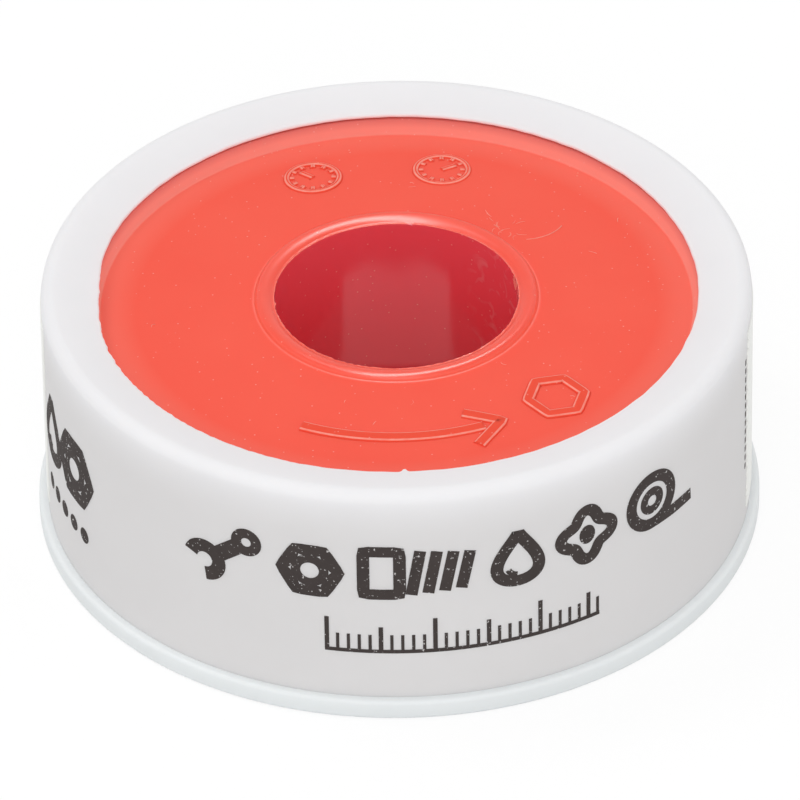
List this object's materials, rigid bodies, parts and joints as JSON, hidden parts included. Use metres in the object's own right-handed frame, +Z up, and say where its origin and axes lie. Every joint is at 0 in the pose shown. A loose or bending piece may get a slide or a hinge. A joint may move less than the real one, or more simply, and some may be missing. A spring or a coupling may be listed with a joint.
{
  "type": "thread seal tape roll",
  "caption": "Thread seal tape wound on a red spool that turns in a white case: a base ring and a pull-off cover with a round opening, open through the hub.",
  "frame": {"origin": "centre of the underside, on the axis of the roll, where the base ring stands", "axes": "+Z up along the axis of the hub, through the cover's opening; -Y towards the camera of the picture"},
  "size_m": [0.068, 0.068, 0.0252],
  "materials": {
    "case_ring": "satin white polypropylene, slightly translucent",
    "case_cover": "satin white polypropylene, slightly translucent, printed in dark grey",
    "spool_red": "orange-red moulded plastic, fine satin grain on the face, glossy in the bore",
    "ptfe_tape": "soft white unsintered PTFE film"
  },
  "bodies": {
    "base_ring": {"base_ring": "case_ring"},
    "cover": {"cover": "case_cover"},
    "spool": {"spool": "spool_red", "tape_roll": "ptfe_tape"}
  },
  "joints": [
    {"name": "cover_lift", "type": "slide", "parent": "base_ring", "child": "cover", "axis": [0, 0, 1], "range_m": [0, 0.03]},
    {"name": "spool_spin", "type": "hinge", "parent": "base_ring", "child": "spool", "pos_m": [0, 0, 0.012], "axis": [0, 0, 1], "continuous": true}
  ]
}
